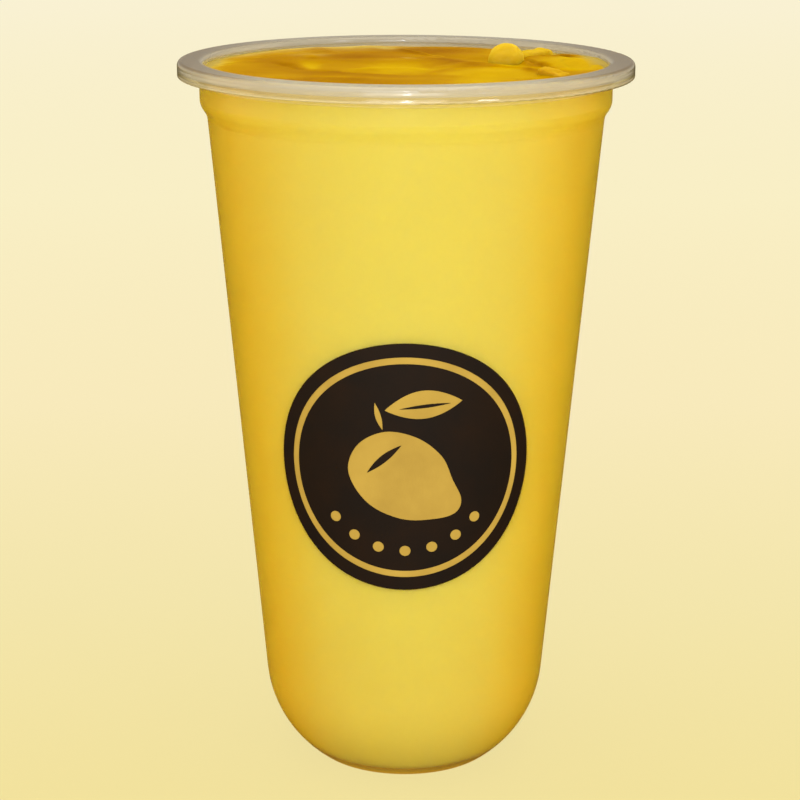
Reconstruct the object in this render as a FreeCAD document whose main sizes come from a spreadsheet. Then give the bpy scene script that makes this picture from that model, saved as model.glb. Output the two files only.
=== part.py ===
# A fruit slush with its cup: a tall clear cup, moulded in one piece, with a rounded bottom corner
# and a flat sealing rim. It is filled to just under the rim with mango slush, and pieces of mango
# stick out of the uneven top. Millimetres, +Z up, origin under the middle of the foot.
import FreeCAD, Part
import Sketcher
import math
import os

SIZES = {
    # the cup as a whole
    "height": 153.0,            # foot to rim
    "rim_radius": 47.5,         # middle to the outside of the rim
    "wall": 0.9,
    # the rim: a flat ring with a short skirt that hangs from its outer edge
    "flange_width": 4.5,        # outside of the rim to outside of the collar
    "flange_thickness": 1.2,
    "skirt_height": 3.3,        # rim face to the skirt's lower edge
    "skirt_thickness": 1.1,
    "rim_rounding": 1.0,        # outer top edge
    "skirt_rounding": 0.35,     # lower edges of the skirt
    "lip_rounding": 1.0,        # inner edge, into the mouth
    # the collar and the shoulder below it
    "collar_depth": 7.9,        # rim face to the end of the upright collar
    "shoulder_step": 1.55,      # how far the shoulder draws the wall in
    "shoulder_radius": 3.6,     # of both bends of the shoulder
    # the tapered wall, the round bottom corner and the foot
    "taper": 5.0,               # degrees from upright
    "corner_radius": 26.0,
    "foot_radius": 20.6,
    "foot_ring_width": 1.8,
    "recess_depth": 1.0,        # of the flat underside within the foot ring
    "floor_thickness": 1.2,
    # the slush
    "fill_depth": 1.9,          # rim face down to the slush's mean surface
    "surface_spans": 30,        # how many spans the uneven surface has each way
    "surface_margin": 4.0,      # how far the surface is drawn past the mouth
}

# Swells and hollows of the slush's surface. A place is a share of the mouth's radius, to the
# right and to the back. A swell has its half length, half width, turn in degrees and rise.
SWELLS = {
    "right_heap": (0.86, 0.22, 8.0, 9.0, 20, 0.85),
    "right_front_heap": (0.40, -0.30, 10.5, 6.5, 12, 1.15),
    "middle_fold": (0.02, 0.10, 10.0, 5.5, -14, 0.75),
    "left_fold": (-0.52, 0.13, 8.0, 4.5, 10, 0.55),
    "left_rim_heap": (-0.84, -0.05, 7.0, 9.0, 0, 0.40),
    "front_band": (-0.25, -0.62, 24.0, 5.0, -6, 0.45),
    "back_heap": (-0.32, 0.78, 13.0, 4.5, 14, 0.50),
    "back_hollow": (0.12, 0.66, 13.0, 6.0, -4, -0.70),
    "left_hollow": (-0.26, 0.30, 9.0, 4.0, 6, -0.45),
    "crease": (0.30, 0.38, 12.0, 2.8, -38, -0.75),
    "right_crease": (0.66, 0.05, 7.0, 2.6, -30, -0.65),
    "front_hollow": (-0.10, -0.28, 14.0, 3.2, -5, -0.50),
}
SWELL_FIELDS = ("right", "back", "half_length", "half_width", "turn", "rise")

# Pieces of mango that stick out of the slush. One is a ball-like lump, the others are cut pieces
# with worn edges. sink is how far the middle lies under the slush's mean surface.
LUMP = {
    "right": 0.505, "back": 0.222, "half_width": 3.85, "half_depth": 3.9, "half_height": 3.6,
    "sink": -0.45,
}
CUT_PIECES = {
    "mango_piece_back": {
        "right": 0.66, "back": 0.475, "length": 8.0, "width": 6.4, "thick": 5.0,
        "rounding": 1.7, "sink": 1.1, "turn": 24, "tip": -9,
    },
    "mango_piece_front": {
        "right": 0.70, "back": -0.36, "length": 5.8, "width": 5.2, "thick": 4.2,
        "rounding": 0.7, "sink": 0.8, "turn": -30, "tip": 14,
    },
}


def fill_sheet(doc):
    """Write every size into the sheet, one row each, and give its cell an alias."""
    sheet = doc.addObject("Spreadsheet::Sheet", "Sizes")
    rows = dict(SIZES)
    for name, values in SWELLS.items():
        for field, value in zip(SWELL_FIELDS, values):
            rows[f"{name}_{field}"] = value
    for field, value in LUMP.items():
        rows[f"lump_{field}"] = value
    for name, piece in CUT_PIECES.items():
        for field, value in piece.items():
            rows[f"{name}_{field}"] = value
    for row, (alias, value) in enumerate(rows.items(), start=1):
        sheet.set(f"A{row}", alias.replace("_", " "))
        sheet.set(f"B{row}", str(value))
        sheet.setAlias(f"B{row}", alias)
    return sheet


def plane(body, role):
    """Give one of a body's own origin planes."""
    for feature in body.Origin.OriginFeatures:
        if feature.Role == role:
            return feature
    raise ValueError(role)


def half_section(body, name):
    """Start a sketch that stands on the body's axis, across to the right and up."""
    sketch = body.newObject("Sketcher::SketchObject", name)
    sketch.AttachmentSupport = [(plane(body, "XZ_Plane"), "")]
    sketch.MapMode = "FlatFace"
    return sketch


def add_line(sketch, start, end):
    return sketch.addGeometry(Part.LineSegment(FreeCAD.Vector(*start), FreeCAD.Vector(*end)))


def add_arc(sketch, centre, radius, start, end):
    """Add an arc that runs anticlockwise between two angles in radians."""
    circle = Part.Circle(FreeCAD.Vector(*centre), FreeCAD.Vector(0, 0, 1), radius)
    return sketch.addGeometry(Part.ArcOfCircle(circle, start, end))


def tie(sketch, *parts):
    return sketch.addConstraint(Sketcher.Constraint(*parts))


def measure(sketch, name, expression, kind, *parts):
    """Add a dimension with a name and the value of an expression, which stays bound to the sheet."""
    value = sketch.evalExpression(expression)
    index = tie(sketch, kind, *parts, math.radians(value) if kind == "Angle" else value)
    sketch.renameConstraint(index, name)
    sketch.setExpression(f"Constraints.{name}", expression)


def on_circle(centre, radius, side, angle):
    """Give a point of a circle: right of its centre and down (side 1), or left and up (-1)."""
    return (
        centre[0] + side * radius * math.cos(angle),
        centre[1] - side * radius * math.sin(angle),
    )


def wall_geometry(sheet):
    """Work out the outside of the wall: where its bends have their centres and its line ends."""
    lean = math.radians(sheet.taper)
    bend = sheet.shoulder_radius
    collar = sheet.rim_radius - sheet.flange_width
    body = collar - sheet.shoulder_step
    slope = math.acos((1 + math.cos(lean) - sheet.shoulder_step / bend) / 2)
    upper = (collar - bend, sheet.height - sheet.collar_depth)
    lower = on_circle(upper, 2 * bend, 1, slope)
    shoulder_end = on_circle(lower, bend, -1, lean)
    reach = (sheet.foot_radius - body) * math.cos(lean) + shoulder_end[1] * math.sin(lean)
    foot_angle = lean + math.acos(1 + reach / sheet.corner_radius)
    corner = (
        sheet.foot_radius - sheet.corner_radius * math.cos(foot_angle),
        sheet.corner_radius * math.sin(foot_angle),
    )
    return {
        "lean": lean, "slope": slope, "collar": collar,
        "upper": upper, "lower": lower, "corner": corner,
    }


def draw_wall(sketch, sheet, inset, floor, top):
    """Draw one side of the wall as a chain from the floor's middle up to the collar's top."""
    shape = wall_geometry(sheet)
    lean, slope = shape["lean"], shape["slope"]
    bend = sheet.shoulder_radius
    corner_radius = sheet.corner_radius - inset
    floor_angle = math.asin((shape["corner"][1] - floor) / corner_radius)
    collar = shape["collar"] - inset
    floor_edge = on_circle(shape["corner"], corner_radius, 1, floor_angle)
    wall_foot = on_circle(shape["corner"], corner_radius, 1, lean)
    wall_top = on_circle(shape["lower"], bend + inset, -1, lean)
    parts = {
        "floor": add_line(sketch, (0, floor), floor_edge),
        "corner": add_arc(sketch, shape["corner"], corner_radius, -floor_angle, -lean),
        "wall": add_line(sketch, wall_foot, wall_top),
        "lower": add_arc(sketch, shape["lower"], bend + inset, math.pi - slope, math.pi - lean),
        "upper": add_arc(sketch, shape["upper"], bend - inset, -slope, 0),
        "collar": add_line(sketch, (collar, shape["upper"][1]), (collar, top)),
    }
    tie(sketch, "PointOnObject", parts["floor"], 1, -2)
    tie(sketch, "Horizontal", parts["floor"])
    tie(sketch, "Coincident", parts["floor"], 2, parts["corner"], 1)
    tie(sketch, "Tangent", parts["corner"], 2, parts["wall"], 1)
    tie(sketch, "Tangent", parts["wall"], 2, parts["lower"], 2)
    tie(sketch, "Tangent", parts["lower"], 1, parts["upper"], 1)
    tie(sketch, "Tangent", parts["upper"], 2, parts["collar"], 1)
    tie(sketch, "Vertical", parts["collar"])
    return parts


def size_outside(sketch, parts):
    """Bind the outside of the wall to the sheet."""
    measure(sketch, "foot", "Sizes.foot_radius", "DistanceX", -1, 1, parts["floor"], 2)
    tie(sketch, "PointOnObject", parts["floor"], 2, -1)
    measure(sketch, "corner", "Sizes.corner_radius", "Radius", parts["corner"])
    measure(sketch, "lean", "90 - Sizes.taper", "Angle", parts["wall"])
    measure(sketch, "lower", "Sizes.shoulder_radius", "Radius", parts["lower"])
    measure(sketch, "upper", "Sizes.shoulder_radius", "Radius", parts["upper"])
    measure(
        sketch, "collar", "Sizes.rim_radius - Sizes.flange_width",
        "DistanceX", -1, 1, parts["collar"], 1,
    )
    measure(
        sketch, "step", "Sizes.shoulder_step",
        "DistanceX", parts["wall"], 2, parts["collar"], 1,
    )
    measure(
        sketch, "collar_foot", "Sizes.height - Sizes.collar_depth",
        "DistanceY", -1, 1, parts["collar"], 1,
    )


def close_outline(sketch, last, first, top, expression):
    """Close a chain along its top and down the axis, at a height from the sheet."""
    edge = sketch.getPoint(last, 2)
    lid = add_line(sketch, (edge.x, top), (0, top))
    axis = add_line(sketch, (0, top), (0, sketch.getPoint(first, 1).y))
    tie(sketch, "Coincident", last, 2, lid, 1)
    tie(sketch, "Horizontal", lid)
    tie(sketch, "Coincident", lid, 2, axis, 1)
    tie(sketch, "Coincident", axis, 2, first, 1)
    tie(sketch, "PointOnObject", axis, 1, -2)
    measure(sketch, "top", expression, "DistanceY", -1, 1, lid, 2)


def chain(sketch, parts):
    """Join each part of a loop to the next, end to start, with arcs tangent to their lines."""
    for part, after in zip(parts, parts[1:] + parts[:1]):
        curved = [isinstance(sketch.Geometry[i], Part.ArcOfCircle) for i in (part, after)]
        tie(sketch, "Tangent" if any(curved) else "Coincident", part, 2, after, 1)


def draw_rim(sketch, sheet):
    """Draw the rim ring's section: the flat flange and the skirt at its outer edge."""
    inner = sheet.rim_radius - sheet.flange_width - sheet.wall
    outer = sheet.rim_radius
    hollow = outer - sheet.skirt_thickness
    face = sheet.height
    underside = face - sheet.flange_thickness
    foot = face - sheet.skirt_height
    soft = sheet.skirt_rounding
    edge = sheet.rim_rounding
    right, down = 0, -math.pi / 2
    top = add_line(sketch, (inner, face), (inner, underside))
    below = add_line(sketch, (inner, underside), (hollow, underside))
    skirt_inside = add_line(sketch, (hollow, underside), (hollow, foot + soft))
    inner_turn = add_arc(sketch, (hollow + soft, foot + soft), soft, -math.pi, down)
    skirt_foot = add_line(sketch, (hollow + soft, foot), (outer - soft, foot))
    outer_turn = add_arc(sketch, (outer - soft, foot + soft), soft, down, right)
    skirt_outside = add_line(sketch, (outer, foot + soft), (outer, face - edge))
    edge_turn = add_arc(sketch, (outer - edge, face - edge), edge, right, math.pi / 2)
    flat = add_line(sketch, (outer - edge, face), (inner, face))
    chain(
        sketch,
        [
            top, below, skirt_inside, inner_turn, skirt_foot, outer_turn, skirt_outside,
            edge_turn, flat,
        ],
    )
    for upright in (top, skirt_inside, skirt_outside):
        tie(sketch, "Vertical", upright)
    for level in (below, skirt_foot, flat):
        tie(sketch, "Horizontal", level)
    measure(
        sketch, "inner", "Sizes.rim_radius - Sizes.flange_width - Sizes.wall",
        "DistanceX", -1, 1, top, 1,
    )
    measure(
        sketch, "hollow", "Sizes.rim_radius - Sizes.skirt_thickness",
        "DistanceX", -1, 1, skirt_inside, 1,
    )
    measure(sketch, "outer", "Sizes.rim_radius", "DistanceX", -1, 1, skirt_outside, 1)
    measure(sketch, "face", "Sizes.height", "DistanceY", -1, 1, top, 1)
    measure(
        sketch, "underside", "Sizes.height - Sizes.flange_thickness",
        "DistanceY", -1, 1, below, 1,
    )
    measure(
        sketch, "foot", "Sizes.height - Sizes.skirt_height",
        "DistanceY", -1, 1, skirt_foot, 1,
    )
    measure(sketch, "inner_turn", "Sizes.skirt_rounding", "Radius", inner_turn)
    measure(sketch, "outer_turn", "Sizes.skirt_rounding", "Radius", outer_turn)
    measure(sketch, "edge_turn", "Sizes.rim_rounding", "Radius", edge_turn)


def draw_recess(sketch, sheet):
    """Draw half of the flat recess within the foot ring."""
    radius = sheet.foot_radius - sheet.foot_ring_width
    depth = sheet.recess_depth
    low = add_line(sketch, (0, 0), (radius, 0))
    side = add_line(sketch, (radius, 0), (radius, depth))
    high = add_line(sketch, (radius, depth), (0, depth))
    axis = add_line(sketch, (0, depth), (0, 0))
    chain(sketch, [low, side, high, axis])
    tie(sketch, "Coincident", low, 1, -1, 1)
    tie(sketch, "Horizontal", low)
    tie(sketch, "Vertical", side)
    tie(sketch, "Horizontal", high)
    tie(sketch, "Vertical", axis)
    measure(
        sketch, "radius", "Sizes.foot_radius - Sizes.foot_ring_width",
        "DistanceX", -1, 1, low, 2,
    )
    measure(sketch, "depth", "Sizes.recess_depth", "DistanceY", -1, 1, high, 1)


def turn(body, kind, name, sketch):
    """Turn a sketch all the way round the upright axis, to add to the body or cut from it."""
    feature = body.newObject(kind, name)
    feature.Profile = sketch
    feature.ReferenceAxis = (sketch, ["V_Axis"])
    feature.Angle = 360
    sketch.Visibility = False
    return feature


def make_cup_outside(doc, sheet):
    """The cup before it is hollowed: wall, rim ring with its hollow skirt, and foot recess."""
    body = doc.addObject("PartDesign::Body", "CupOutside")
    sketch = half_section(body, "WallOutside")
    parts = draw_wall(sketch, sheet, 0, 0, sheet.height)
    size_outside(sketch, parts)
    close_outline(sketch, parts["collar"], parts["floor"], sheet.height, "Sizes.height")
    turn(body, "PartDesign::Revolution", "TurnedWall", sketch)
    sketch = half_section(body, "RimSection")
    draw_rim(sketch, sheet)
    turn(body, "PartDesign::Revolution", "RimRing", sketch)
    sketch = half_section(body, "FootRecess")
    draw_recess(sketch, sheet)
    turn(body, "PartDesign::Groove", "RecessedFoot", sketch)
    return body


def make_inside(doc, sheet):
    """The space inside the cup, from its floor to the rim face, with the rounded lip."""
    body = doc.addObject("PartDesign::Body", "CupInside")
    sketch = half_section(body, "WallInside")
    outer = draw_wall(sketch, sheet, 0, 0, sheet.height)
    for part in outer.values():
        sketch.setConstruction(part, True)
    size_outside(sketch, outer)
    measure(sketch, "face", "Sizes.height", "DistanceY", -1, 1, outer["collar"], 2)
    floor = sheet.recess_depth + sheet.floor_thickness
    lip = sheet.height - sheet.lip_rounding
    inner = draw_wall(sketch, sheet, sheet.wall, floor, lip)
    measure(
        sketch, "floor", "Sizes.recess_depth + Sizes.floor_thickness",
        "DistanceY", -1, 1, inner["floor"], 1,
    )
    measure(
        sketch, "inner_corner", "Sizes.corner_radius - Sizes.wall",
        "Radius", inner["corner"],
    )
    measure(
        sketch, "inner_lower", "Sizes.shoulder_radius + Sizes.wall",
        "Radius", inner["lower"],
    )
    measure(
        sketch, "inner_upper", "Sizes.shoulder_radius - Sizes.wall",
        "Radius", inner["upper"],
    )
    tie(sketch, "Horizontal", inner["corner"], 3, outer["corner"], 3)
    tie(sketch, "Horizontal", inner["upper"], 3, outer["upper"], 3)
    tie(sketch, "Parallel", inner["wall"], outer["wall"])
    measure(sketch, "wall", "Sizes.wall", "Distance", inner["wall"], 1, outer["wall"])
    measure(
        sketch, "collar_wall", "Sizes.wall",
        "DistanceX", inner["collar"], 1, outer["collar"], 1,
    )
    mouth = sheet.rim_radius - sheet.flange_width - sheet.wall
    curve = add_arc(
        sketch, (mouth + sheet.lip_rounding, lip), sheet.lip_rounding, math.pi / 2, math.pi
    )
    lid = add_line(sketch, (mouth + sheet.lip_rounding, sheet.height), (0, sheet.height))
    axis = add_line(sketch, (0, sheet.height), (0, floor))
    tie(sketch, "Tangent", inner["collar"], 2, curve, 2)
    tie(sketch, "Coincident", curve, 1, lid, 1)
    tie(sketch, "Horizontal", lid)
    tie(sketch, "Vertical", curve, 1, curve, 3)
    tie(sketch, "Coincident", lid, 2, axis, 1)
    tie(sketch, "Coincident", axis, 2, inner["floor"], 1)
    tie(sketch, "PointOnObject", axis, 1, -2)
    measure(sketch, "lip", "Sizes.lip_rounding", "Radius", curve)
    measure(sketch, "top", "Sizes.height", "DistanceY", -1, 1, lid, 2)
    turn(body, "PartDesign::Revolution", "TurnedInside", sketch)
    return body


def cut_away(doc, name, base, tool):
    """Cut one object from another."""
    result = doc.addObject("Part::Cut", name)
    result.Base = base
    result.Tool = tool
    return result


def swell_height(sheet, name, right, back, mouth):
    """The rise that one swell gives at a point of the surface."""
    size = {field: getattr(sheet, f"{name}_{field}") for field in SWELL_FIELDS}
    across = right - size["right"] * mouth
    away = back - size["back"] * mouth
    angle = math.radians(size["turn"])
    along = (across * math.cos(angle) + away * math.sin(angle)) / size["half_length"]
    aside = (away * math.cos(angle) - across * math.sin(angle)) / size["half_width"]
    return size["rise"] * math.exp(-(along * along + aside * aside))


def make_slush_block(doc, sheet):
    """A block wider than the mouth whose top is the slush's uneven surface."""
    mouth = sheet.rim_radius - sheet.flange_width - sheet.wall
    level = sheet.height - sheet.fill_depth
    reach = mouth + sheet.surface_margin
    spans = int(sheet.surface_spans)
    points = []
    for column in range(spans + 1):
        right = reach * (2 * column / spans - 1)
        line = []
        for row in range(spans + 1):
            back = reach * (2 * row / spans - 1)
            rise = sum(swell_height(sheet, name, right, back, mouth) for name in SWELLS)
            line.append(FreeCAD.Vector(right, back, level + rise))
        points.append(line)
    surface = Part.BSplineSurface()
    surface.interpolate(points)
    block = doc.addObject("Part::Feature", "SlushBlock")
    block.Shape = surface.toShape().extrude(FreeCAD.Vector(0, 0, -sheet.height))
    return block


def surface_place(sheet, right, back, sink):
    """A place in the mouth, given as shares of its radius and a depth under the surface."""
    mouth = sheet.rim_radius - sheet.flange_width - sheet.wall
    level = sheet.height - sheet.fill_depth
    return FreeCAD.Vector(right * mouth, back * mouth, level - sink)


def make_lump(doc, sheet):
    """The ball-like lump of mango that stands highest."""
    lump = doc.addObject("Part::Ellipsoid", "mango_lump")
    lump.Angle1 = -90
    lump.setExpression("Radius1", "Sizes.lump_half_height")
    lump.setExpression("Radius2", "Sizes.lump_half_width")
    lump.setExpression("Radius3", "Sizes.lump_half_depth")
    place = surface_place(sheet, sheet.lump_right, sheet.lump_back, sheet.lump_sink)
    lump.Placement = FreeCAD.Placement(place, FreeCAD.Rotation())
    lump.Label = "mango_lump"
    return lump


def make_cut_piece(doc, sheet, name):
    """A cut piece of mango: a block with worn edges, turned and tipped as it lies."""
    size = {field: getattr(sheet, f"{name}_{field}") for field in CUT_PIECES[name]}
    block = doc.addObject("Part::Box", f"{name}_block")
    block.setExpression("Length", f"Sizes.{name}_length")
    block.setExpression("Width", f"Sizes.{name}_width")
    block.setExpression("Height", f"Sizes.{name}_thick")
    doc.recompute()
    lie = FreeCAD.Rotation(size["turn"], size["tip"], 0)
    middle = FreeCAD.Vector(size["length"], size["width"], size["thick"]) / 2
    place = surface_place(sheet, size["right"], size["back"], size["sink"])
    block.Placement = FreeCAD.Placement(place - lie.multVec(middle), lie)
    piece = doc.addObject("Part::Fillet", name)
    piece.Base = block
    radius = size["rounding"]
    piece.Edges = [(number, radius, radius) for number in range(1, 13)]
    piece.Label = name
    return piece


def make_parts():
    """Build the document and give its sub-parts."""
    doc = FreeCAD.newDocument("FruitSlush")
    sheet = fill_sheet(doc)
    doc.recompute()
    outside = make_cup_outside(doc, sheet)
    inside = make_inside(doc, sheet)
    cup = cut_away(doc, "Cup", outside, inside)
    cup.Label = "cup"

    mango = [make_lump(doc, sheet)]
    mango += [make_cut_piece(doc, sheet, name) for name in CUT_PIECES]
    filling = doc.addObject("Part::Common", "Filling")
    filling.Base = inside
    filling.Tool = make_slush_block(doc, sheet)
    slush = filling
    for piece in mango:
        slush = cut_away(doc, f"slush_round_{piece.Name}", slush, piece)
    slush.Label = "slush"
    doc.recompute()
    return doc, [cup, slush, *mango]


def check(doc, parts):
    """Stop if an object failed or a sub-part has no sound shape."""
    for item in doc.Objects:
        if "Invalid" in item.State or "Error" in item.State:
            raise RuntimeError(f"{item.Label} failed: {item.State}")
    for part in parts:
        if part.Shape.isNull() or not part.Shape.isValid():
            raise RuntimeError(f"{part.Label} has no sound shape")


document, sub_parts = make_parts()
check(document, sub_parts)
os.makedirs("parts", exist_ok=True)
for sub_part in sub_parts:
    sub_part.Shape.exportStep(f"parts/{sub_part.Label}.step")
    print(sub_part.Label, len(sub_part.Shape.Solids), round(sub_part.Shape.Volume, 1))
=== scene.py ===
# A mango slush in its clear cup, as it is handed over a counter: the cup, the slush that fills it,
# the puree and the mango pieces in its top, and a round printed badge on the front.
# Everything is in metres, in the frame of the CAD parts: +Z up, -Y towards the badge.
import math

import bmesh
import bpy
import numpy as np
from mathutils import Euler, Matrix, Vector, noise
from mathutils.bvhtree import BVHTree


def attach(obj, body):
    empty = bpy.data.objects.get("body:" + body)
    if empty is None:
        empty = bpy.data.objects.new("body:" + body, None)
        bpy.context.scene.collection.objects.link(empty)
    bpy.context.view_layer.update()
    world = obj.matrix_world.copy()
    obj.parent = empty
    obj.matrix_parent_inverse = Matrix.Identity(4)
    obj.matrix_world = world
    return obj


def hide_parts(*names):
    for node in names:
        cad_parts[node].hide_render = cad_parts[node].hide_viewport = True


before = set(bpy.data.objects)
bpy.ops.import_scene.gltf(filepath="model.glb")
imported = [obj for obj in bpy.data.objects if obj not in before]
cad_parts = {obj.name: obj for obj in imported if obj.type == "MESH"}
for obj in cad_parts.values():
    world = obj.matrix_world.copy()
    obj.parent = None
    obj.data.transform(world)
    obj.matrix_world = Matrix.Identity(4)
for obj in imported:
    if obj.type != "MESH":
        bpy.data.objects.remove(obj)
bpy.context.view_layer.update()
MM = 0.001

# ---------------------------------------------------------------------------------------------
# The cup: one injection moulding of clear polypropylene, 0.9 mm thick, a little hazy and
# slightly grey where it is seen edge on. The CAD part keeps its own shape and gets this plastic.
# ---------------------------------------------------------------------------------------------


class Finish:
    """One material: a Principled shader with its output, and short ways to add nodes."""

    def __init__(self, name, **values):
        self.material = bpy.data.materials.new(name)
        self.material.use_nodes = True
        self.tree = self.material.node_tree
        self.tree.nodes.clear()
        self.output = self.tree.nodes.new("ShaderNodeOutputMaterial")
        self.shader = self.tree.nodes.new("ShaderNodeBsdfPrincipled")
        for key, value in values.items():
            self.shader.inputs[key.replace("_", " ")].default_value = value
        self.tree.links.new(self.shader.outputs[0], self.output.inputs["Surface"])

    def node(self, kind, **settings):
        made = self.tree.nodes.new("ShaderNode" + kind)
        for key, value in settings.items():
            setattr(made, key, value)
        return made

    def join(self, source, target):
        self.tree.links.new(source, target)

    def place(self, stretch=(1, 1, 1)):
        """Object coordinates in millimetres, stretched along the axes."""
        coordinates = self.node("TexCoord")
        scaled = self.node("Mapping")
        scaled.inputs["Scale"].default_value = [1000 * s for s in stretch]
        self.join(coordinates.outputs["Object"], scaled.inputs["Vector"])
        return scaled.outputs["Vector"]

    def cloud(self, size, stretch=(1, 1, 1), detail=3.0):
        """Soft noise with patches of that size in millimetres, from 0 to 1."""
        made = self.node("TexNoise")
        made.inputs["Scale"].default_value = 1.0 / size
        made.inputs["Detail"].default_value = detail
        self.join(self.place(stretch), made.inputs["Vector"])
        return made.outputs["Fac"]

    def right_back_up(self):
        """Millimetres to the right of the cup's axis, behind it and above the floor."""
        split = self.node("SeparateXYZ")
        self.join(self.place(), split.inputs[0])
        return split.outputs["X"], split.outputs["Y"], split.outputs["Z"]

    def from_axis(self, right, back):
        """Distance from the cup's axis, in millimetres."""
        flat = self.node("CombineXYZ")
        self.join(right, flat.inputs["X"])
        self.join(back, flat.inputs["Y"])
        length = self.node("VectorMath", operation="LENGTH")
        self.join(flat.outputs[0], length.inputs[0])
        return length.outputs["Value"]

    def maths(self, operation, *sources):
        """One sum on values or sockets."""
        made = self.node("Math", operation=operation)
        for source, target in zip(sources, made.inputs):
            if isinstance(source, (int, float)):
                target.default_value = source
            else:
                self.join(source, target)
        return made.outputs[0]

    def product(self, total, *others):
        """Multiply values."""
        for other in others:
            total = self.maths("MULTIPLY", total, other)
        return total

    def times(self, total, *others):
        """Multiply colours."""
        for other in others:
            made = self.node("VectorMath", operation="MULTIPLY")
            self.join(total, made.inputs[0])
            self.join(other, made.inputs[1])
            total = made.outputs[0]
        return total

    def scaled(self, colour, amount):
        """Make a colour that many times as bright; the amount is a number or a socket."""
        made = self.node("VectorMath", operation="SCALE")
        self.join(colour, made.inputs[0])
        if isinstance(amount, float):
            made.inputs["Scale"].default_value = amount
        else:
            self.join(amount, made.inputs["Scale"])
        return made.outputs[0]

    def spread(self, source, low, high, to_low, to_high):
        """Map low..high of a value onto to_low..to_high."""
        made = self.node("MapRange")
        for key, value in zip(("From Min", "From Max", "To Min", "To Max"), (low, high, to_low, to_high)):
            made.inputs[key].default_value = value
        self.join(source, made.inputs["Value"])
        return made.outputs["Result"]

    def shades(self, source, *stops):
        """Colour ramp: pairs of a position and a linear colour."""
        made = self.node("ValToRGB")
        ramp = made.color_ramp
        while len(ramp.elements) < len(stops):
            ramp.elements.new(0.5)
        for element, (position, colour) in zip(ramp.elements, stops):
            element.position = position
            element.color = (*colour, 1.0)
        self.join(source, made.inputs["Fac"])
        return made.outputs["Color"]

    def levels(self, source, *stops):
        """The same ramp for plain numbers: pairs of a position and a level."""
        return self.shades(source, *((position, (level,) * 3) for position, level in stops))

    def either(self, share, first, second, kind="MixShader"):
        """Mix two shaders or colours; the share is that of the second."""
        made = self.node(kind)
        for source, target in zip((share, first, second), made.inputs):
            self.join(source, target)
        return made.outputs[0]

    def relief(self, source, height):
        """Bump from a value, with that height in millimetres."""
        made = self.node("Bump")
        made.inputs["Distance"].default_value = height * MM
        self.join(source, made.inputs["Height"])
        self.join(made.outputs["Normal"], self.shader.inputs["Normal"])

    def dress(self, piece):
        """Put the finish on every material slot of a piece."""
        if not piece.material_slots:
            piece.data.materials.append(self.material)
        for slot in piece.material_slots:
            slot.material = self.material


WHITE = (1.0, 1.0, 1.0)
# where the plastic changes, from the beginning to the end of each change in millimetres:
# heights above the floor
FOOT_ENDS = (0.8, 3.0)
WET_STARTS, WET_ENDS = (148.5, 148.8), (149.4, 151.7)
RIM_STARTS = (149.0, 150.0)
SKIRT_EDGE = (150.0, 150.2)
FLANGE_STARTS = (151.5, 151.75)
UPPER_FACE = (152.55, 152.85)
STEPPED = (149.7, 153.0)
# distances from the axis
MOUTH_WALL = (42.3, 42.7)
FACE_STARTS = (42.4, 43.2)
INNER_HALF = (43.2, 43.6)
FLANGE_SLOPE = (43.8, 44.6)
SKIRT_WALL = (45.8, 46.3)
OUTER_FACE = (46.5, 46.8)
# and distances from its middle lines, behind and to the sides
BEHIND = (-42, -12)
HALF_WAY = (-5, 15)
SIDES = (24, 44)

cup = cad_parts["cup"]
plastic = Finish("clear_cup_plastic", IOR=1.49)
right, back, height = plastic.right_back_up()
radius = plastic.from_axis(right, back)
# the wall is thin and satin; the rim ring is thicker, so it is hazier, greyer and more polished
slope = plastic.spread(radius, *FLANGE_SLOPE, 0.0, 0.65)
in_flange = plastic.spread(plastic.maths("ADD", height, slope), *FLANGE_STARTS, 0.0, 1.0)
in_skirt = plastic.spread(radius, *SKIRT_WALL, 0.0, 0.4)
in_rim = plastic.maths("MAXIMUM", in_flange, in_skirt)
skirt_edge = plastic.product(
    plastic.spread(height, *SKIRT_EDGE, 1, 0), plastic.spread(radius, *SKIRT_WALL, 0, 1)
)
in_foot = plastic.spread(height, *FOOT_ENDS, 1.0, 0.0)
# slush has wetted the inside of the wall just above the drink
wet = plastic.product(
    plastic.spread(height, *WET_ENDS, 0.9, 0.0),
    plastic.spread(height, *WET_STARTS, 0, 1),
    plastic.spread(radius, *INNER_HALF, 1.0, 0.0),
)
wet_in_front = plastic.product(wet, plastic.spread(back, *HALF_WAY, 1, 0))
clear = plastic.product(
    plastic.levels(in_rim, (0.0, 0.98), (0.4, 0.80), (1.0, 0.60)),
    plastic.spread(wet, 0, 1, 1.0, 0.35),
    plastic.spread(in_foot, 0, 1, 1.0, 0.12),
    plastic.spread(skirt_edge, 0, 1, 1.0, 0.45),
)
plastic.join(clear, plastic.shader.inputs["Transmission Weight"])
# painted shade: the rim is darker away from the badge side, where the front lights reach it least,
# but the inside of the collar is left out of it at the two sides, and the rim's upper face is painted
# a darker brown there as shade
at_side = plastic.spread(plastic.maths("ABSOLUTE", right), *SIDES, 0, 1)
painted_shade_on_rim = plastic.maths(
    "SUBTRACT",
    plastic.product(plastic.spread(back, *BEHIND, 0, 1), plastic.spread(height, *RIM_STARTS, 0, 1)),
    plastic.product(at_side, plastic.spread(radius, *MOUTH_WALL, 1.4, 0.0)),
)
painted_shade_on_face = plastic.product(
    plastic.spread(height, *UPPER_FACE, 0, 1), plastic.spread(radius, *FACE_STARTS, 0, 1), at_side
)
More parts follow.
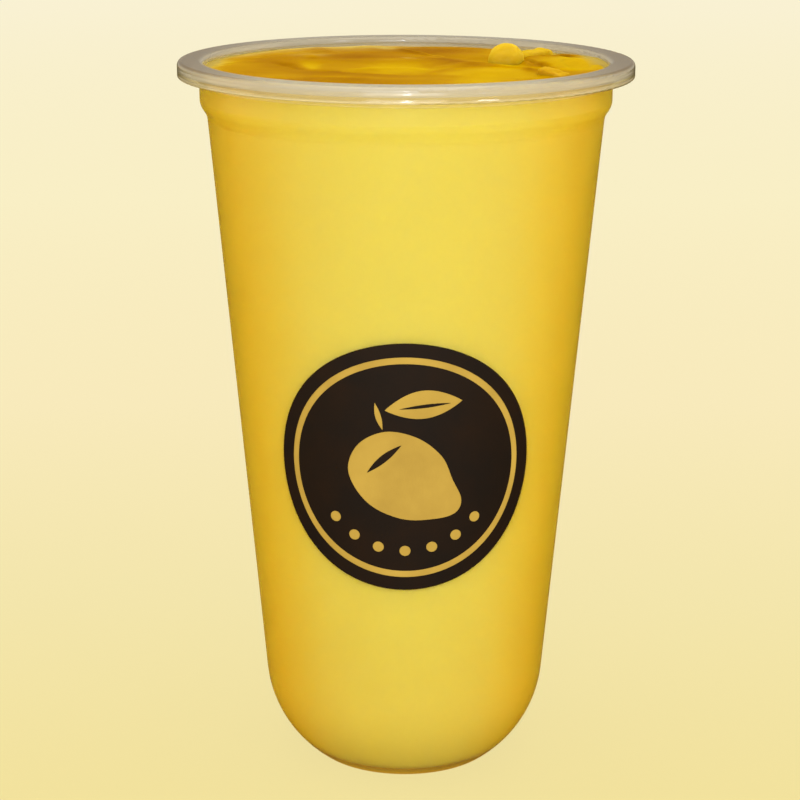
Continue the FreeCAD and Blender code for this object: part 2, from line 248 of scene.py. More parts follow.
# the foot takes the colour of the drink over it, and is the least glossy
tint = plastic.times(
    plastic.shades(
        in_rim, (0.0, (0.97, 0.96, 0.93)), (0.4, (0.80, 0.72, 0.47)), (1.0, (0.68, 0.65, 0.57))
    ),
    plastic.shades(wet, (0.0, WHITE), (1.0, (0.96, 0.72, 0.13))),
    plastic.shades(wet_in_front, (0.0, WHITE), (1.0, (0.77, 0.86, 1.0))),
    # painted shade on the rim away from the light, and on its upper face at the two sides
    plastic.shades(painted_shade_on_rim, (0.0, (0.96, 0.95, 0.94)), (1.0, (0.76, 0.75, 0.74))),
    plastic.shades(in_foot, (0.0, WHITE), (0.2, (1.0, 0.74, 0.13)), (1.0, (1.0, 0.66, 0.08))),
    plastic.shades(painted_shade_on_face, (0.0, WHITE), (1.0, (0.40, 0.27, 0.11))),
)
plastic.join(tint, plastic.shader.inputs["Base Color"])
plastic.join(plastic.spread(in_foot, 0, 1, 0.5, 0.05), plastic.shader.inputs["Specular IOR Level"])
satin = plastic.spread(plastic.cloud(6.0), 0.3, 0.7, 0.34, 0.44)
polish = plastic.spread(in_rim, 0.0, 0.4, 1.0, 0.25)
plastic.join(plastic.product(satin, polish), plastic.shader.inputs["Roughness"])
# the rim's outside falls back in two soft steps; the wall has a faint unevenness
steps = plastic.levels(
    plastic.spread(height, *STEPPED, 0.0, 1.0),
    (0.0, 1.0), (0.13, 0.98), (0.27, 0.46), (0.40, 0.44), (0.54, 0.44), (0.67, 0.02), (0.85, 0.0),
)
steps.node.color_ramp.interpolation = "CARDINAL"
steps = plastic.product(steps, plastic.spread(radius, *OUTER_FACE, 0.0, 1.0))
unevenness = plastic.cloud(3.0, stretch=(1, 1, 0.4), detail=1.0)
plastic.relief(plastic.maths("MULTIPLY_ADD", unevenness, 0.03, steps), 0.27)
# light passes the thin wall, so the slush behind it is lit
ray = plastic.node("LightPath")
passing = plastic.node("BsdfTransparent")
passing.inputs["Color"].default_value = (0.96, 0.955, 0.94, 1)
lit = plastic.either(ray.outputs["Is Shadow Ray"], plastic.shader.outputs[0], passing.outputs[0])
plastic.join(lit, plastic.output.inputs["Surface"])
plastic.dress(cup)

# ---------------------------------------------------------------------------------------------
# The slush: blended mango and ice, thick and opaque, smooth where it lies against the cup and
# folded on top. It is drawn again from the CAD part, a little larger, so that it wets the wall.
# ---------------------------------------------------------------------------------------------
AROUND = 288                # points round the cup
TOP_RINGS = 104             # rings of points from the wall to the middle of the top
SMOOTHING = 400             # rounds that close the pockets of the mango pieces over
WETTING = 0.15 * MM         # how far the slush reaches into the wall
MOUTH = 42.1 * MM           # inside radius at the top
WALL_TOP = 147.0 * MM       # where the side of the slush ends and its uneven edge starts
depsgraph = bpy.context.evaluated_depsgraph_get()
slush_tree = BVHTree.FromObject(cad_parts["slush"], depsgraph)
cut_names = ("mango_lump", "mango_piece_back", "mango_piece_front")
cut_trees = [BVHTree.FromObject(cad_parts[name], depsgraph) for name in cut_names]
turn_round = np.arange(AROUND) * 2 * math.pi / AROUND


def outline_point(height, tilt):
    """Where a ray from the axis leaves the slush, pushed a little into the wall."""
    way = Vector((math.cos(tilt), 0, math.sin(tilt)))
    place = slush_tree.ray_cast(Vector((0, 0, height)), way)[0] + way * WETTING
    return math.hypot(place.x, place.y), place.z


def smoothed(field, held, rounds):
    """Let the points that are not held take the mean of their neighbours."""
    for _ in range(rounds):
        padded = np.vstack([field[:1], field, field[-1:]])
        mean = (padded[2:] + padded[:-2] + np.roll(field, 1, 1) + np.roll(field, -1, 1)) / 4
        field = np.where(held, field, mean)
    return field


def soft_noise(x, y, size, seed, octaves=3):
    """Seeded noise about 0 on points in metres, with patches of that size in millimetres."""
    flat = np.empty(x.size)
    for i, (px, py) in enumerate(zip(x.ravel(), y.ravel())):
        spot = Vector((px / (size * MM), py / (size * MM), seed))
        flat[i] = noise.fractal(spot, 1.0, 2.0, octaves)
    return flat.reshape(x.shape)


# folds and creases of the surface, as bowed strokes: start and end in millimetres to the right
# and to the back, bow to the left of the way, half width and rise
FOLDS = {
    "left crease": (-28.0, 2.0, -13.0, -11.0, -1.2, 1.5, -0.42),
    "front crease": (-13.0, -11.0, 3.5, -15.5, -0.6, 1.8, -0.55),
    "lip of the middle fold": (-10.5, -6.0, 5.5, -8.0, 2.4, 1.5, 0.35),
    "ridge before the back pool": (-11.5, 31.0, -2.5, 32.5, 0.8, 0.8, 0.34),
    "ridge that runs forward": (-2.5, 32.5, 8.5, 11.5, 1.8, 0.7, 0.36),
    "hollow behind the mound": (3.0, 9.5, 13.5, 2.5, 0.6, 2.2, -0.50),
    "crest of the mound": (7.5, -5.5, 24.0, -0.5, 1.6, 2.2, 0.42),
    "crease by the lump": (23.0, 25.0, 31.0, -2.0, -1.0, 0.9, -0.60),
    "crease behind the right heap": (30.5, 15.5, 38.0, 13.0, 0.4, 0.8, -0.50),
    "left bump": (-21.0, 16.0, -20.0, 8.5, 0.0, 1.9, 0.55),
    "fold at the far left": (-35.0, 6.0, -24.0, 11.0, 1.0, 1.6, 0.30),
    "fold at the left back": (-27.0, 19.0, -15.0, 24.0, 1.4, 1.3, 0.32),
    "dent at the left wall": (-38.0, 3.5, -36.5, 1.5, 0.0, 1.0, -0.50),
}


def stroke(x, y, x0, y0, x1, y1, bow, half_width, rise):
    """A fold or crease along a bowed line, with soft ends."""
    x, y = x / MM, y / MM
    length = math.hypot(x1 - x0, y1 - y0)
    ux, uy = (x1 - x0) / length, (y1 - y0) / length
    along = ((x - x0) * ux + (y - y0) * uy) / length
    across = (y - y0) * ux - (x - x0) * uy - bow * 4 * along * (1 - along)
    past = np.maximum(0, np.maximum(-along, along - 1)) * length
    across = np.where((along < 0) | (along > 1), (y - y0) * ux - (x - x0) * uy, across)
    fade = np.exp(-(past / (1.2 * half_width)) ** 2) * np.clip(0.35 + 4 * along * (1 - along), 0, 1)
    return rise * MM * fade * np.exp(-(across / half_width) ** 2)


def folded(x, y):
    """How far the folds and creases lift the surface, with lines that waver a little."""
    bent_x = x + 1.3 * MM * soft_noise(x, y, 8.0, 31.0)
    bent_y = y + 1.1 * MM * soft_noise(x, y, 8.0, 47.0)
    inside = np.clip((MOUTH - np.hypot(x, y)) / (3 * MM), 0, 1)
    return inside * sum(stroke(bent_x, bent_y, *line) for line in FOLDS.values())


def ring_mesh(name, rings, end_points):
    """Skin a stack of rings, from one closing point to the other, with outward faces."""
    count, around = rings.shape[:2]
    points = [*map(tuple, rings.reshape(-1, 3)), tuple(end_points[0]), tuple(end_points[1])]
    first, last = count * around, count * around + 1
    faces = []
    for k in range(around):
        n = (k + 1) % around
        faces.append((first, n, k))
        faces.append((last, (count - 1) * around + k, (count - 1) * around + n))
        for i in range(count - 1):
            faces.append((i * around + k, i * around + n, (i + 1) * around + n, (i + 1) * around + k))
    mesh = bpy.data.meshes.new(name)
    mesh.from_pydata(points, [], faces)
    mesh.polygons.foreach_set("use_smooth", [True] * len(mesh.polygons))
    made = bpy.data.objects.new(name, mesh)
    bpy.context.scene.collection.objects.link(made)
    return made


# the top, as rings from the wall to the middle
top_radii = np.concatenate([[MOUTH + WETTING], np.linspace(MOUTH - 0.1 * MM, 0.3 * MM, TOP_RINGS)])
top_x = top_radii[:, None] * np.cos(turn_round)[None, :]
top_y = top_radii[:, None] * np.sin(turn_round)[None, :]
top_z = np.zeros_like(top_x)
open_top = np.ones(top_x.shape, bool)
above = 0.2                 # the rays that read the CAD part's top come down from there
for i in range(1, len(top_radii)):
    for k in range(AROUND):
        start = Vector((top_x[i, k], top_y[i, k], above))
        top_z[i, k] = slush_tree.ray_cast(start, Vector((0, 0, -1)))[0].z
        if any(tree.ray_cast(start, Vector((0, 0, -1)))[0] for tree in cut_trees):
            open_top[i, k] = False
top_z[0] = top_z[1]
# the pockets of the mango pieces are closed over under them
clear_of_pockets = open_top.copy()
for shift in (-2, -1, 1, 2):
    clear_of_pockets &= np.roll(open_top, shift, 1)
    if shift < 0:
        clear_of_pockets[:shift] &= open_top[-shift:]
    else:
        clear_of_pockets[shift:] &= open_top[:-shift]
top_z = np.where(clear_of_pockets, top_z, np.median(top_z[clear_of_pockets]))
top_z = smoothed(top_z, clear_of_pockets, SMOOTHING)
top_z = top_z - 0.5 * MM * np.clip((top_y / MM - 16) / 24, 0, 1) ** 2
smooth_top = top_z.copy()
# it climbs a little at the wall, and its own top is slightly grainy
climb = np.exp(-(MOUTH - np.minimum(top_radii, MOUTH)) / (0.9 * MM))[:, None]
top_z = top_z + 0.25 * MM * climb * (1 + 0.5 * soft_noise(top_x, top_y, 9.0, 1.5))
top_z = top_z + folded(top_x, top_y) + 0.05 * MM * soft_noise(top_x, top_y, 1.6, 7.3)

# the outside, from the floor up to the collar, then on to the uneven edge of the top
outline = [outline_point(0.030, math.radians(-89 + a)) for a in np.linspace(0, 88, 30)]
outline += [outline_point(z, 0.0) for z in np.linspace(0.0315, 0.1440, 42)]
outline += [outline_point(z, 0.0) for z in (0.1450, 0.1458, WALL_TOP)]
side_rings = np.array(
    [[(r * math.cos(a), r * math.sin(a), z) for a in turn_round] for r, z in outline]
)
edge_z = top_z[0]
collar_rings = np.array([
    [
        ((MOUTH + WETTING) * math.cos(a), (MOUTH + WETTING) * math.sin(a), WALL_TOP + (edge - WALL_TOP) * share)
        for a, edge in zip(turn_round, edge_z)
    ]
    for share in (0.3, 0.6, 0.85)
])
top_rings = np.stack([top_x, top_y, top_z], axis=2)
slush = ring_mesh(
    "slush_in_cup",
    np.concatenate([side_rings, collar_rings, top_rings]),
    [(0, 0, outline[0][1]), (0, 0, top_z[-1].mean())],
)

# where the slush changes, in millimetres: heights, then distances from the axis
LOWER_WALL = (8, 52)
SHOULDER_STARTS, SHOULDER_ENDS = (138.5, 141.5), (143.5, 145.5)
TOP_STARTS = (146.4, 146.8)
TOP_EDGE = (42.0, 42.2)
SHORE = (38.0, 40.6)

slush_finish = Finish(
    "blended_mango_slush",
    Roughness=0.42,
    Specular_IOR_Level=0.0,
    Subsurface_Weight=1.0,
    Subsurface_Scale=0.0024,
    Subsurface_Radius=(1.0, 0.95, 0.5),
)
right, back, height = slush_finish.right_back_up()
radius = slush_finish.from_axis(right, back)
# paler on the badge side and a deeper orange round the rest of the cup, in soft patches of uneven
# tone: painted light on the front and painted shade where the wall turns away from the lights
patches = slush_finish.cloud(26.0, stretch=(1, 1, 0.55), detail=2.0)
painted_light_from_badge = slush_finish.maths("ADD", slush_finish.maths("DIVIDE", back, radius), 1.0)
side = slush_finish.shades(
    slush_finish.maths("ADD", painted_light_from_badge, slush_finish.spread(patches, 0.3, 0.8, 0.02, -0.02)),
    (0.0, (0.765, 0.672, 0.112)), (0.12, (0.775, 0.655, 0.098)), (0.30, (0.81, 0.620, 0.045)),
    (0.50, (0.83, 0.587, 0.010)), (0.70, (0.79, 0.577, 0.009)),
)
# deeper orange towards the bottom: painted shade where the wall curves down, away from the light
painted_shade_low_down = slush_finish.spread(height, *LOWER_WALL, 1.0, 0.0)
side = slush_finish.times(
    side, slush_finish.shades(painted_shade_low_down, (0.0, WHITE), (1.0, (0.99, 0.92, 0.78)))
)
# and a little paler in the shoulder under the collar: painted light against the shade where the wall turns in
# there
painted_light_in_shoulder = slush_finish.product(
    slush_finish.spread(height, *SHOULDER_STARTS, 0.0, 0.06),
    slush_finish.spread(height, *SHOULDER_ENDS, 1, 0),
)
side = slush_finish.scaled(side, slush_finish.maths("ADD", painted_light_in_shoulder, 1.0))
# the open top is puree-coloured in the middle and paler where it runs out at the wall
on_open_top = slush_finish.product(
    slush_finish.spread(height, *TOP_STARTS, 0.0, 1.0), slush_finish.spread(radius, *TOP_EDGE, 1.0, 0.0)
)
by_wall = slush_finish.shades(
    slush_finish.spread(radius, *SHORE, 0.0, 1.0),
    (0.0, (0.355, 0.215, 0.003)), (1.0, (0.27, 0.20, 0.045)),
)
top_or_side = slush_finish.either(on_open_top, side, by_wall, kind="MixRGB")
slush_finish.join(top_or_side, slush_finish.shader.inputs["Base Color"])
slush_finish.relief(slush_finish.cloud(0.9, detail=4.0), 0.05)
slush_finish.dress(slush)
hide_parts("slush")
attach(slush, "root")

# ---------------------------------------------------------------------------------------------
# The puree: a glossy film of strained mango poured over the slush and half stirred in. It lies
# thick and deep orange in the hollows and runs out to nothing on the heaps; it is also made thicker,
# so darker, as painted shade in the creases, behind the front mound and by the front piece.
# ---------------------------------------------------------------------------------------------
# each pool or thin place, and the painted shadows and creases: right and back as shares of the
# mouth, half length and half width in millimetres, turn in degrees, and how much thicker the puree is there in
# millimetres
POOLS_AND_PAINTED_SHADE = {
    "back pool": (0.08, 0.70, 14.5, 7.0, -3, 0.58),
    "left pool": (-0.26, 0.34, 10.0, 8.0, 6, 0.50),
    "hollow at the left back": (-0.48, 0.62, 4.0, 3.0, 0, 0.45),
    "far left pool": (-0.66, 0.12, 5.0, 9.0, 0, 0.30),
    "hollow before the middle fold": (-0.31, -0.34, 12.0, 4.0, -24, 0.46),
    "painted shadow behind the front mound": (0.25, 0.07, 9.5, 4.0, -55, 0.66),
    "crease by the lump": (0.64, 0.12, 9.0, 1.8, -62, 0.22),
    "crease behind the right heap": (0.80, 0.36, 5.0, 1.4, -4, 0.55),
    "painted shadow by the front piece": (0.60, -0.28, 1.6, 2.2, 0, 0.55),
    "before the lump": (0.49, 0.14, 4.5, 6.5, 0, -0.48),
    "middle fold": (-0.05, -0.08, 6.0, 6.5, -12, -0.40),
    "left patch": (-0.47, 0.00, 2.4, 6.5, 4, -0.42),
    "front mound": (0.41, -0.36, 9.0, 6.0, 10, -0.38),
    "right heap": (0.88, 0.12, 7.0, 10.0, 0, -0.60),
    "behind the lump": (0.64, 0.66, 9.0, 7.0, 16, -0.60),
    "before the left crease": (-0.34, -0.66, 13.0, 5.0, -4, 0.26),
    "front of the mound": (0.36, -0.62, 9.0, 5.0, 0, -0.25),
    "left rim": (-0.94, 0.05, 4.0, 12.0, 0, -0.35),
}
# pale froth, and painted highlights on ridges of the puree, in the same terms, with how much of it shows
FROTH_AND_GLEAMS = {
    "left back": (-0.37, 0.81, 14.0, 5.5, 18, 1.30),
    "left": (-0.80, 0.55, 9.0, 2.8, 55, 0.9),
    "left rim": (-0.96, 0.10, 2.2, 9.0, 0, 0.8),
    "right back": (0.78, 0.66, 9.0, 2.6, -50, 0.7),
    "right rim": (0.97, 0.25, 2.0, 9.0, 12, 0.7),
    # the last three are painted highlights on ridges of the puree
    "streak before the back pool": (-0.17, 0.76, 4.8, 1.0, 3, 0.8),
    "gleam on the fold": (0.02, 0.27, 2.0, 0.9, -40, 0.7),
    "gleam on the left bump": (-0.49, 0.42, 3.6, 3.4, 0, 0.35),
}


def swell(x, y, right, back, half_length, half_width, turn, rise):
    """A soft oval heap or hollow."""
    c, s = math.cos(math.radians(turn)), math.sin(math.radians(turn))
    dx, dy = x - right * MOUTH, y - back * MOUTH
    along, across = (dx * c + dy * s) / (half_length * MM), (-dx * s + dy * c) / (half_width * MM)
    return rise * MM * np.exp(-(along ** 2 + across ** 2))


FILM_AROUND = 420           # points round the film
FILM_RINGS = 135            # rings from the wall to the middle
EVEN_FILM = 0.34 * MM       # thickness away from the pools and thin places
THICKEST = 1.2 * MM
BURIED = 0.35 * MM          # how far it dips under the slush where it has run out
SHORE_WIDTH = 2.2 * MM      # it thins over that much before the wall
film_angles = np.arange(FILM_AROUND) * 2 * math.pi / FILM_AROUND
film_radii = np.linspace(41.8 * MM, 0.25 * MM, FILM_RINGS)
film_x = film_radii[:, None] * np.cos(film_angles)[None, :]
film_y = film_radii[:, None] * np.sin(film_angles)[None, :]


def on_top(field):
    """Read a field of the slush's top rings at the film's points."""
    ring = np.interp(-film_radii, -top_radii[1:], np.arange(1, len(top_radii)))
    spoke = film_angles / (2 * math.pi) * AROUND
    low, near = np.floor(ring).astype(int), np.floor(spoke).astype(int) % AROUND
    high, far = np.minimum(low + 1, len(top_radii) - 1), (near + 1) % AROUND
    up, over = (ring % 1)[:, None], (spoke % 1)[None, :]
    inner = field[low][:, near] * (1 - over) + field[low][:, far] * over
    outer = field[high][:, near] * (1 - over) + field[high][:, far] * over
    return inner * (1 - up) + outer * up


wavy_x = film_x + 1.5 * MM * soft_noise(film_x, film_y, 8.0, 61.0)
wavy_y = film_y + 1.2 * MM * soft_noise(film_x, film_y, 8.0, 77.0)
thickness = EVEN_FILM + sum(swell(wavy_x, wavy_y, *pool) for pool in POOLS_AND_PAINTED_SHADE.values())
thickness += 0.14 * MM * soft_noise(wavy_x, wavy_y * 1.4, 9.0, 4.2, 2)
shore = np.clip((MOUTH - film_radii) / SHORE_WIDTH, 0, 1)[:, None]
thickness = np.clip(thickness * shore - BURIED * (1 - shore) ** 2, -BURIED, THICKEST)
folds = folded(film_x, film_y)
film_z = on_top(smooth_top) + 0.06 * MM + thickness + folds
film_top = np.stack([film_x, film_y, film_z], axis=2)
low_ring = np.stack([film_x[0], film_y[0], film_z[0] - 0.6 * MM], axis=1)
bed_ring = np.stack([film_x[0] * 0.5, film_y[0] * 0.5, 0 * film_x[0] + film_z.min() - 0.8 * MM], axis=1)
puree = ring_mesh(
    "mango_puree_film",
    np.concatenate([bed_ring[None], low_ring[None], film_top]),
    [(0, 0, film_z.min() - 0.8 * MM), (0, 0, film_z[-1].mean())],
)
# the colour follows this depth, partly real pooling and partly painted shade in the creases and painted light
# on the ridges of the folds
depth = np.concatenate([np.zeros(2 * FILM_AROUND), (thickness - 0.4 * folds).ravel(), [0, 0.3 * MM]]) / MM
layer = puree.data.attributes.new("film_depth_and_fold_shade", "FLOAT", "POINT")
layer.data.foreach_set("value", depth.astype(np.float32))

pale = np.clip(sum(swell(wavy_x, wavy_y, *patch) for patch in FROTH_AND_GLEAMS.values()) / MM, 0, 1)
layer = puree.data.attributes.new("froth_and_gleams", "FLOAT", "POINT")
pale = np.concatenate([np.zeros(2 * FILM_AROUND), pale.ravel(), [0, 0]])
layer.data.foreach_set("value", pale.astype(np.float32))

puree_finish = Finish(
    "strained_mango_puree",
    Roughness=0.30,
    Specular_IOR_Level=0.0,
    Coat_Weight=0.05,
    Coat_Roughness=0.08,
    Coat_IOR=1.38,
    Subsurface_Weight=1.0,
    Subsurface_Scale=0.0012,
    Subsurface_Radius=(1.0, 0.9, 0.4),
)
film_depth_and_fold_shade = puree_finish.node("Attribute", attribute_name="film_depth_and_fold_shade")
colour = puree_finish.shades(
    film_depth_and_fold_shade.outputs["Fac"],
    (0.0, (0.370, 0.228, 0.001)),
    (0.25, (0.285, 0.150, 0.0)),
    (0.50, (0.235, 0.110, 0.0)),
    (0.90, (0.180, 0.074, 0.0)),
)
# pale froth and the painted highlights, in one pale colour
froth_and_gleams = puree_finish.node("Attribute", attribute_name="froth_and_gleams")
froth_and_gleam_colour = puree_finish.node("MixRGB")
puree_finish.join(froth_and_gleams.outputs["Fac"], froth_and_gleam_colour.inputs[0])
puree_finish.join(colour, froth_and_gleam_colour.inputs[1])
froth_and_gleam_colour.inputs[2].default_value = (0.36, 0.262, 0.058, 1)
puree_finish.join(froth_and_gleam_colour.outputs[0], puree_finish.shader.inputs["Base Color"])
puree_finish.relief(puree_finish.cloud(3.0, stretch=(1, 1.6, 1), detail=1.0), 0.04)
puree_finish.dress(puree)
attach(puree, "root")

# ---------------------------------------------------------------------------------------------
# The mango pieces: one rounded lump and two cut pieces of ripe mango, stuck in the slush and wet
# with puree. Each stands for its CAD part, with worn edges and small dents.
# ---------------------------------------------------------------------------------------------


def carved(name, cad_name, grain, dent, dent_size, seed):
    """A fine, slightly uneven copy of a CAD piece."""
    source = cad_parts[cad_name]
    copy = bpy.data.objects.new(name, source.data.copy())
    bpy.context.scene.collection.objects.link(copy)
    remesh = copy.modifiers.new("even mesh", "REMESH")
    remesh.mode = "VOXEL"
    remesh.voxel_size = grain * MM
    relax = copy.modifiers.new("worn edges", "SMOOTH")
    relax.iterations = 6
    made = bpy.data.meshes.new_from_object(copy.evaluated_get(bpy.context.evaluated_depsgraph_get()))
    bpy.data.objects.remove(copy)
    for point in made.vertices:
        spot = point.co / (dent_size * MM) + Vector((seed, 0, 0))
        point.co += point.normal * (dent * MM * noise.fractal(spot, 1.0, 2.0, 3))
    made.name = name
    made.materials.clear()
    made.polygons.foreach_set("use_smooth", [True] * len(made.polygons))
    piece = bpy.data.objects.new(name, made)
    bpy.context.scene.collection.objects.link(piece)
    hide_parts(cad_name)
    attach(piece, "root")
    return piece


def flesh_finish(name, depth, *colours):
    """Wet ripe mango in three shades; light gets that many millimetres deep."""
    made = Finish(
        name,
        Roughness=0.35,
        Specular_IOR_Level=0.0,
        Coat_Weight=0.07,
        Coat_Roughness=0.10,
        Coat_IOR=1.38,
        Subsurface_Weight=1.0,
        Subsurface_Scale=depth * MM,
        Subsurface_Radius=(1.0, 0.85, 0.4),
    )
    shade = made.shades(made.cloud(3.0), *zip((0.32, 0.60, 0.80), colours))
    made.join(shade, made.shader.inputs["Base Color"])
    made.relief(made.cloud(0.7, detail=3.0), 0.06)
    return made


# the same ripe mango flesh in three copies, lighter for the lump and darker for the two cut pieces
lump_flesh = flesh_finish(
    "ripe_mango_flesh", 3.4, (0.455, 0.308, 0.009), (0.485, 0.335, 0.020), (0.515, 0.374, 0.042)
)
back_flesh = flesh_finish(
    "cut_mango_flesh", 1.2, (0.408, 0.265, 0.006), (0.435, 0.290, 0.012), (0.462, 0.320, 0.030)
)
front_flesh = flesh_finish(
    "darkest_mango_flesh", 1.2, (0.365, 0.205, 0.003), (0.400, 0.232, 0.007), (0.480, 0.315, 0.055)
)
# mesh size, depth and width of the dents in millimetres, and where in the noise they start
for finish, name, cad_name, grain, dent, dent_size, seed in (
    (lump_flesh, "mango_lump_wet", "mango_lump", 0.22, 0.16, 2.6, 3.0),
    (back_flesh, "mango_cut_back", "mango_piece_back", 0.22, 0.28, 2.2, 11.0),
    (front_flesh, "mango_cut_front", "mango_piece_front", 0.20, 0.22, 1.8, 23.0),
):
    finish.dress(carved(name, cad_name, grain, dent, dent_size, seed))

# ---------------------------------------------------------------------------------------------
# The badge: a dark brown ink screen printed on the outside of the cup, over a flat dull gold sheet
# below it that is painted shade: the shade the brown ink casts into the drink behind its open parts.
# A ring, a mango on its twig and a row of dots are left open in the brown.
# ---------------------------------------------------------------------------------------------
BADGE_MIDDLE = 74.6 * MM    # its height above the floor
# all else in millimetres
BADGE_HALF_WIDTH = 27.7
BADGE_HALF_HEIGHT = 26.8
RING_INSETS = (0, 2.9, 4.3)     # the badge's edge, then the two sides of its ring
GOLD_INSET = 0.6
EDGE_POINTS = 160
CUTS = 28                       # one a millimetre, to each side of the middle
DOTS = 7
DOT_RADIUS = 1.15
DOT_ROW = (18.8, 18.0)          # half width and half height of the oval they stand on
DOT_TURN = 17                   # degrees from one to the next
cup_tree = BVHTree.FromObject(cup, depsgraph)


def oval(half_width, half_height, middle=(0, 0), points=EDGE_POINTS):
    """A closed line round an oval."""
    turns = (2 * math.pi * k / points for k in range(points))
    return [(middle[0] + half_width * math.cos(a), middle[1] + half_height * math.sin(a)) for a in turns]


def pointed(start, end, left, right, points=24):
    """A leaf or a crescent: two bows between two tips, each with its own rise."""
    loop = []
    dx, dy = end[0] - start[0], end[1] - start[1]
    size = math.hypot(dx, dy)
    for rise, order in ((left, range(points)), (right, range(points, 0, -1))):
        for k in order:
            t = k / points
            bow = math.sin(math.pi * t) ** 0.9 * rise
            loop.append((start[0] + dx * t - dy / size * bow, start[1] + dy * t + dx / size * bow))
    return loop


def rounded(corners, shift=(0, 0), scale=1.0, steps=8):
    """A smooth closed line through some corners."""
    loop = []
    count = len(corners)
    for i in range(count):
        p0, p1, p2, p3 = (corners[(i + j) % count] for j in (-1, 0, 1, 2))
        for k in range(steps):
            t = k / steps
            loop.append(tuple(
                shift[n] + scale * 0.5 * (
                    2 * p1[n] + (p2[n] - p0[n]) * t + (2 * p0[n] - 5 * p1[n] + 4 * p2[n] - p3[n]) * t ** 2
                    + (3 * p1[n] - p0[n] - 3 * p2[n] + p3[n]) * t ** 3
                )
                for n in (0, 1)
            ))
    return loop


def printed(name, loops, proud, thick):
    """Fill some loops, even and odd, and lay the sheet on the curved wall, cut fine to bend."""
    outline_curve = bpy.data.curves.new(name, "CURVE")
    outline_curve.dimensions = "2D"
    outline_curve.fill_mode = "BOTH"
    for loop in loops:
        spline = outline_curve.splines.new("POLY")
        spline.points.add(len(loop) - 1)
        for point, (x, y) in zip(spline.points, loop):
            point.co = (x * MM, y * MM, 0, 1)
        spline.use_cyclic_u = True
    flat = bpy.data.objects.new(name + "_flat", outline_curve)
    bpy.context.scene.collection.objects.link(flat)
    made = bpy.data.meshes.new_from_object(flat.evaluated_get(bpy.context.evaluated_depsgraph_get()))
    bpy.data.objects.remove(flat)
    sheet = bmesh.new()
    sheet.from_mesh(made)
    for normal in (Vector((1, 0, 0)), Vector((0, 1, 0))):
        for step in range(-CUTS, CUTS + 1):
            bmesh.ops.bisect_plane(
                sheet, geom=sheet.verts[:] + sheet.edges[:] + sheet.faces[:], dist=1e-7,
                plane_co=normal * (step * MM), plane_no=normal,
            )
    bmesh.ops.remove_doubles(sheet, verts=sheet.verts[:], dist=1e-6)
    for point in sheet.verts:
        z = BADGE_MIDDLE + point.co.y
        reach = -cup_tree.ray_cast(Vector((0, -1, z)), Vector((0, 1, 0)))[0].y
        angle = point.co.x / reach
        reach += proud * MM
        point.co = Vector((reach * math.sin(angle), -reach * math.cos(angle), z))
    sheet.to_mesh(made)
    sheet.free()
    made.name = name
    piece = bpy.data.objects.new(name, made)
    bpy.context.scene.collection.objects.link(piece)
    coat = piece.modifiers.new("ink thickness", "SOLIDIFY")
    coat.thickness = thick * MM
    coat.offset = 0.0
    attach(piece, "root")
    return piece


FRUIT = (
    (-9.5, 0.5), (-7.6, 6.2), (-2.2, 9.2), (4.0, 8.0), (8.8, 4.0), (11.0, -1.0), (12.8, -5.2),
    (11.6, -8.0), (7.4, -9.0), (0.8, -8.8), (-5.8, -5.6),
)
dark_loops = [oval(BADGE_HALF_WIDTH - inset, BADGE_HALF_HEIGHT - inset) for inset in RING_INSETS]
dark_loops += [
    rounded(FRUIT, (-1.8, -1.6), 1.05),
    pointed((-7.8, -1.0), (-0.8, 5.2), 0.9, -0.6),          # the light on its cheek
    pointed((-4.6, 8.4), (-6.2, 14.2), 0.7, -0.5),          # its twig
    pointed((-4.2, 12.6), (11.6, 14.4), 3.4, -2.6),         # the leaf
    pointed((-1.2, 12.9), (9.2, 14.0), 0.45, -0.25),        # and its middle rib
]
for k in range(DOTS):
    a = math.radians(-90 + (k - DOTS // 2) * DOT_TURN)
    middle = (DOT_ROW[0] * math.cos(a), DOT_ROW[1] * math.sin(a))
    dark_loops.append(oval(DOT_RADIUS, DOT_RADIUS, middle, points=28))
gold_loop = oval(BADGE_HALF_WIDTH - GOLD_INSET, BADGE_HALF_HEIGHT - GOLD_INSET)
gold = printed("badge_painted_shade_sheet", [gold_loop], 0.03, 0.03)
badge = printed("badge_print", dark_loops, 0.08, 0.05)

ink = Finish("dark_brown_ink", Roughness=0.46, IOR=1.45, Specular_IOR_Level=0.30)
colour = ink.shades(
    ink.cloud(9.0), (0.35, (0.0105, 0.0055, 0.0035)), (0.70, (0.0160, 0.0065, 0.0026))
)
ink.join(colour, ink.shader.inputs["Base Color"])
ink.relief(ink.cloud(0.35), 0.008)
ink.dress(badge)

# painted shade: the dull gold that shows in the open parts of the brown ink
shade_sheet_finish = Finish("painted_shade_under_badge", Roughness=0.42, IOR=1.45, Specular_IOR_Level=0.35)
colour = shade_sheet_finish.shades(
    shade_sheet_finish.cloud(11.0), (0.35, (0.43, 0.29, 0.060)), (0.70, (0.53, 0.37, 0.080))
)
shade_sheet_finish.join(colour, shade_sheet_finish.shader.inputs["Base Color"])
shade_sheet_finish.relief(shade_sheet_finish.cloud(0.35), 0.008)
shade_sheet_finish.dress(gold)

# ---------------------------------------------------------------------------------------------
# The stage: a pale cream floor that runs back out of sight, a large soft lamp above the viewer,
# fills at both sides, small lamps for the glints on the rim, and a plain even surround.
# ---------------------------------------------------------------------------------------------
bpy.context.scene.view_settings.view_transform = "Standard"
floor_mesh = bpy.data.meshes.new("floor")
floor_mesh.from_pydata([(-6, -2.5, 0), (6, -2.5, 0), (6, 9, 0), (-6, 9, 0)], [], [(0, 1, 2, 3)])
floor = bpy.data.objects.new("floor", floor_mesh)
bpy.context.scene.collection.objects.link(floor)

